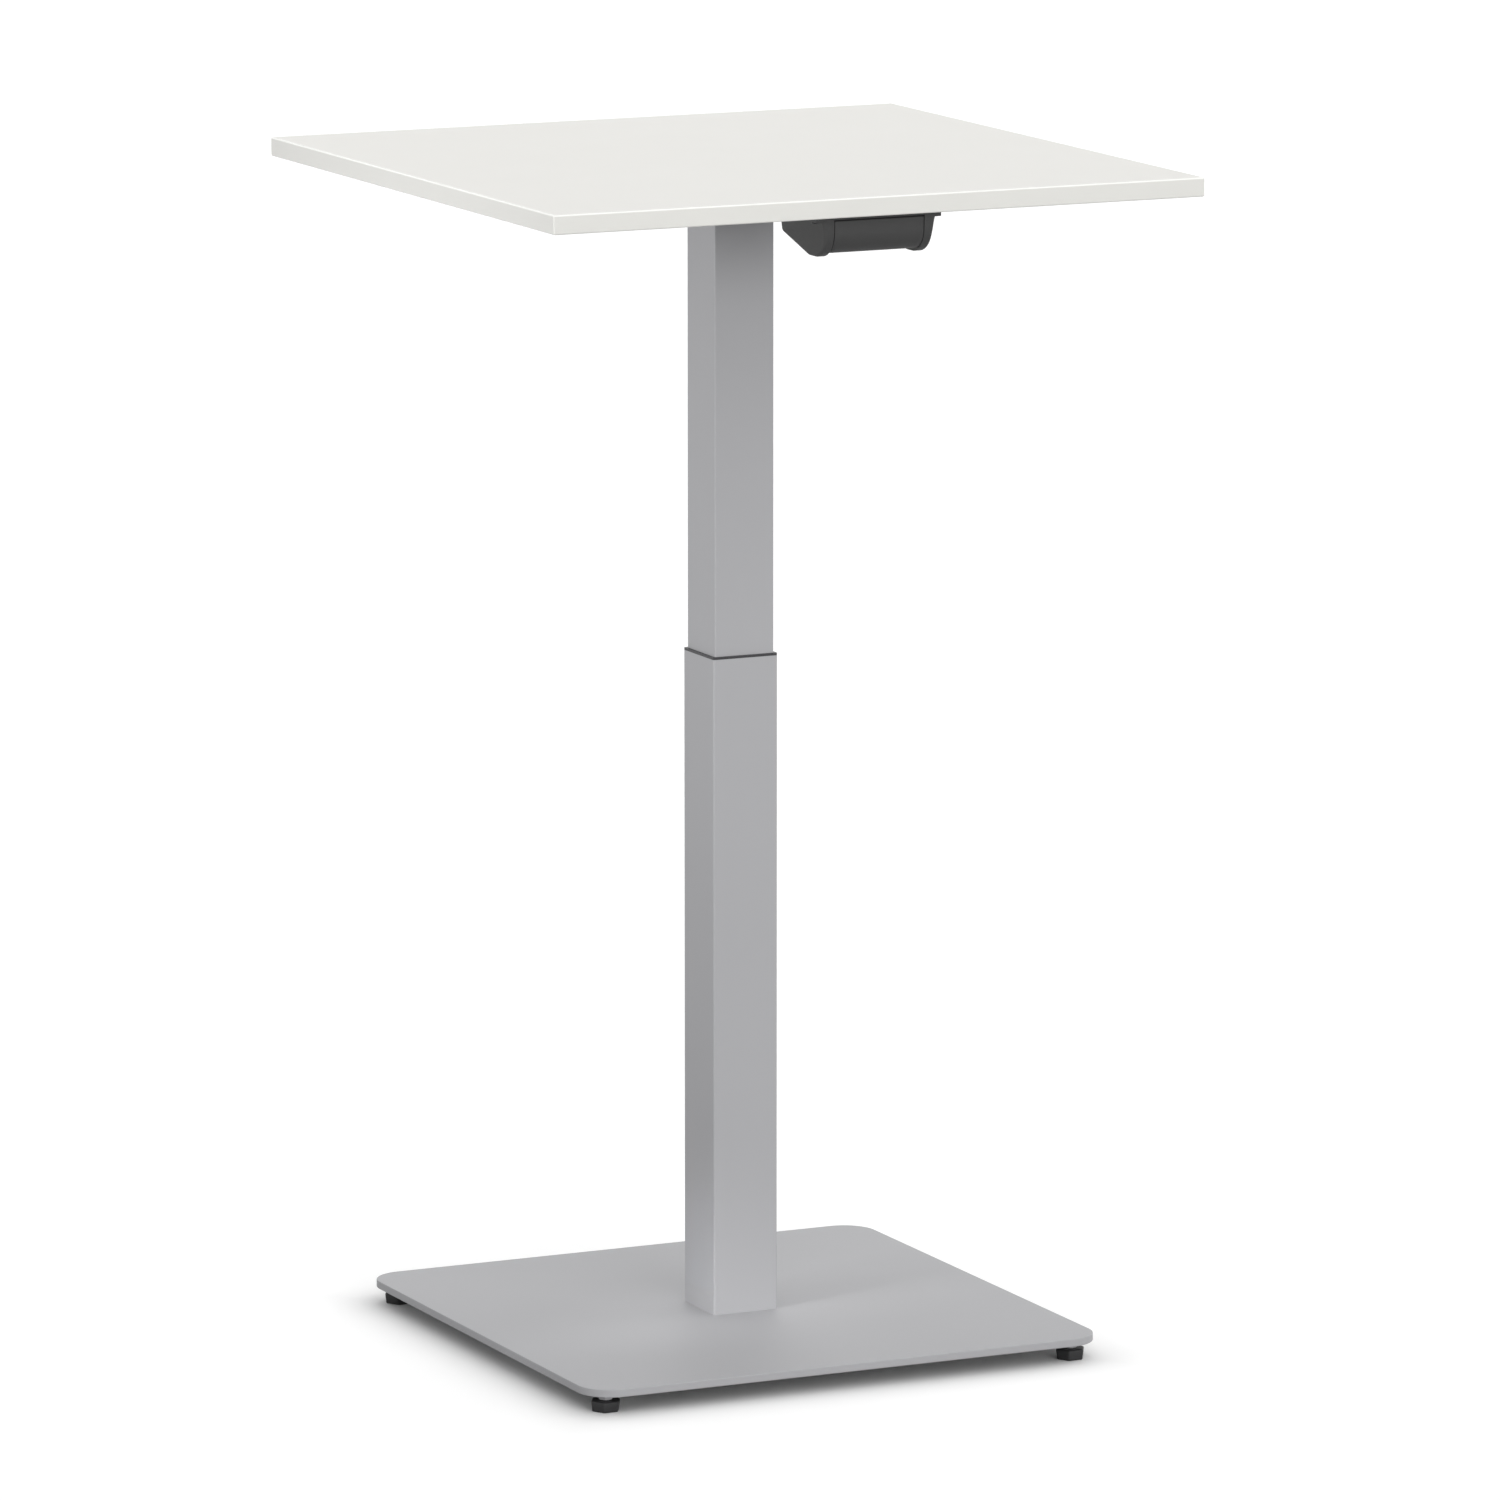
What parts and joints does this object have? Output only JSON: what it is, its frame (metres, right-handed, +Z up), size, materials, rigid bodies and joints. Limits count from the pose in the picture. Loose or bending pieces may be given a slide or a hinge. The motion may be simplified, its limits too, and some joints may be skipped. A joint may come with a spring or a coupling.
{
  "type": "height-adjustable table",
  "caption": "Square laminate table on one telescopic square column and a flat base plate, raised by a gas spring and released by a paddle under the front edge.",
  "frame": {"origin": "on the floor, under the middle of the column, which is the middle of the worktop and base", "axes": "+Z up, +X to the right along the front edge, +Y to the back; the release handle is at -Y"},
  "size_m": [0.7, 0.7, 1.2],
  "materials": {
    "powder_coated_steel": "fine satin powder coat, silver grey",
    "laminate": "smooth matt laminate, warm off-white",
    "edge_band": "satin edge band, warm off-white",
    "board_core": "raw particle board",
    "charcoal_plastic": "fine moulded grain, charcoal",
    "black_plastic": "moulded black",
    "guide_plastic": "smooth dark grey",
    "sheath_plastic": "smooth black",
    "bare_steel": "zinc plated",
    "blackened_steel": "black zinc plated",
    "black_painted_steel": "gloss black",
    "chromed_rod": "hard chromed and polished",
    "cast_aluminium": "cast, as machined",
    "seal_rubber": "black"
  },
  "bodies": {
    "base": {"base_plate": "powder_coated_steel", "column_bolts": "bare_steel", "weld_nut_front_left": "powder_coated_steel", "weld_nut_front_right": "powder_coated_steel", "weld_nut_rear_left": "powder_coated_steel", "weld_nut_rear_right": "powder_coated_steel", "outer_tube": "powder_coated_steel", "tube_foot_plate": "bare_steel", "guide_collar": "guide_plastic", "gas_cylinder": "black_painted_steel", "cylinder_end_plug": "bare_steel", "cylinder_lock_nut": "bare_steel", "rod_guide": "bare_steel", "rod_seal": "seal_rubber"},
    "lift": {"inner_tube": "powder_coated_steel", "mounting_plate": "powder_coated_steel", "worktop_laminate": "laminate", "worktop_backer": "laminate", "edge_band_front": "edge_band", "edge_band_rear": "edge_band", "edge_band_left": "edge_band", "edge_band_right": "edge_band", "worktop_core": "board_core", "handle_housing": "charcoal_plastic", "cable_clips": "black_plastic", "guide_shoe": "guide_plastic", "cable_sheath": "sheath_plastic", "worktop_screws": "bare_steel", "anchor_plate": "bare_steel", "rod_lock_nut": "bare_steel", "lever_pin": "bare_steel", "paddle_pin": "bare_steel", "piston": "bare_steel", "cable_ferrule_front": "bare_steel", "cable_ferrule_rear": "bare_steel", "handle_screws": "blackened_steel", "clip_screws": "blackened_steel", "piston_rod": "chromed_rod", "release_head": "cast_aluminium", "piston_seal": "seal_rubber"},
    "foot_front_left": {"levelling_foot_front_left": "black_plastic", "foot_stud_front_left": "bare_steel"},
    "foot_front_right": {"levelling_foot_front_right": "black_plastic", "foot_stud_front_right": "bare_steel"},
    "foot_rear_left": {"levelling_foot_rear_left": "black_plastic", "foot_stud_rear_left": "bare_steel"},
    "foot_rear_right": {"levelling_foot_rear_right": "black_plastic", "foot_stud_rear_right": "bare_steel"},
    "paddle": {"paddle": "charcoal_plastic"},
    "wire": {"cable_wire": "bare_steel"},
    "crank": {"release_crank": "cast_aluminium"},
    "valve": {"valve_pin": "bare_steel"}
  },
  "joints": [
    {"name": "lift_slide", "type": "slide", "parent": "base", "child": "lift", "axis": [0, 0, 1], "range_m": [-0.45, 0]},
    {"name": "paddle_hinge", "type": "hinge", "parent": "lift", "child": "paddle", "pos_m": [0, -0.3355, 1.1735], "axis": [-1, 0, 0], "range_deg": [0, 20]},
    {"name": "wire_slide", "type": "slide", "parent": "lift", "child": "wire", "axis": [0, -1, 0], "range_m": [0, 0.0026]},
    {"name": "crank_hinge", "type": "hinge", "parent": "lift", "child": "crank", "pos_m": [0, 0.014, 1.15], "axis": [1, 0, 0], "range_deg": [0, 10]},
    {"name": "valve_slide", "type": "slide", "parent": "lift", "child": "valve", "axis": [0, 0, -1], "range_m": [0, 0.00225], "stiffness_N_per_m": 200, "springref_m": -0.005},
    {"name": "foot_front_left_slide", "type": "slide", "parent": "base", "child": "foot_front_left", "axis": [0, 0, 1], "range_m": [-0.006, 0]},
    {"name": "foot_front_right_slide", "type": "slide", "parent": "base", "child": "foot_front_right", "axis": [0, 0, 1], "range_m": [-0.006, 0]},
    {"name": "foot_rear_left_slide", "type": "slide", "parent": "base", "child": "foot_rear_left", "axis": [0, 0, 1], "range_m": [-0.006, 0]},
    {"name": "foot_rear_right_slide", "type": "slide", "parent": "base", "child": "foot_rear_right", "axis": [0, 0, 1], "range_m": [-0.006, 0]}
  ],
  "couplings": [
    {"joint": "paddle_hinge", "follows": "valve_slide", "rad_per_m": 155},
    {"joint": "wire_slide", "follows": "valve_slide", "ratio": 1.1008},
    {"joint": "crank_hinge", "follows": "valve_slide", "rad_per_m": 73.38}
  ]
}
